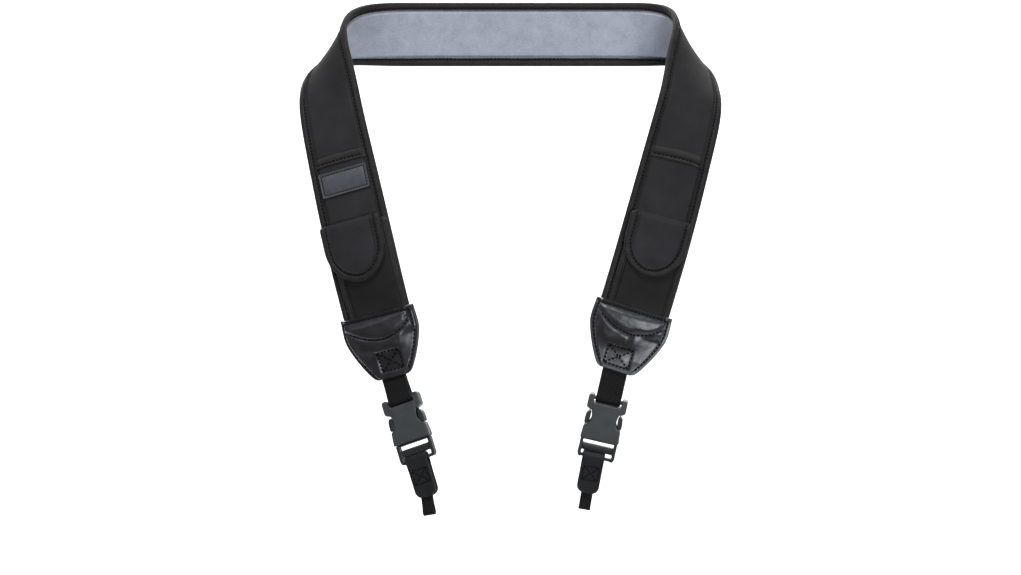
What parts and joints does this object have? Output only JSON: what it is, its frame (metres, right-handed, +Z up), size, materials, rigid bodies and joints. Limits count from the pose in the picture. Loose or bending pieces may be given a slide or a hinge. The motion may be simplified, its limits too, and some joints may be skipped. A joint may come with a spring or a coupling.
{
  "type": "camera neck strap",
  "caption": "Wide padded neck strap worn over the neck: neoprene band with two pocketed front strips, leather end patches and side-release buckles to narrow lug webbing.",
  "frame": {"origin": "middle of the neck part, on the face of its lining that rests on the neck", "axes": "+Z up, +X to the right as seen from the front, +Y away from the viewer, out of the back of the neck part"},
  "size_m": [0.337, 0.1157, 0.4119],
  "materials": {
    "neoprene_jersey": "black jersey over neoprene foam, matt",
    "grip_fabric": "blue-grey short-pile lining, soft sheen",
    "binding_tape": "black folded knit tape",
    "label_rubber": "dark blue-grey moulded rubber, bare",
    "faux_leather": "black grained leather, semi-gloss",
    "nylon_webbing": "black woven nylon webbing",
    "acetal": "black moulded acetal, satin",
    "tab_leather": "smooth black leather, satin"
  },
  "bodies": {
    "root": {"buckle_plug_left": "acetal", "buckle_plug_right": "acetal", "buckle_socket_left": "acetal", "buckle_socket_right": "acetal", "edge_binding_inner": "binding_tape", "edge_binding_outer": "binding_tape", "end_patch_back_left": "faux_leather", "end_patch_back_right": "faux_leather", "end_patch_front_left": "faux_leather", "end_patch_front_right": "faux_leather", "flap_binding_left": "binding_tape", "flap_binding_right": "binding_tape", "flap_pocket_left": "neoprene_jersey", "flap_pocket_right": "neoprene_jersey", "grip_lining": "grip_fabric", "label_patch": "label_rubber", "lower_tab_left": "tab_leather", "lower_tab_right": "tab_leather", "lug_webbing_left": "nylon_webbing", "lug_webbing_right": "nylon_webbing", "neoprene_band": "neoprene_jersey", "pocket_edging_inner_left": "binding_tape", "pocket_edging_inner_right": "binding_tape", "pocket_edging_outer_left": "binding_tape", "pocket_edging_outer_right": "binding_tape", "pocket_flap_left": "neoprene_jersey", "pocket_flap_right": "neoprene_jersey", "pocket_hem_left": "binding_tape", "pocket_hem_right": "binding_tape", "slip_pocket_left": "neoprene_jersey", "slip_pocket_right": "neoprene_jersey", "upper_webbing_left": "nylon_webbing", "upper_webbing_right": "nylon_webbing"}
  },
  "joints": []
}
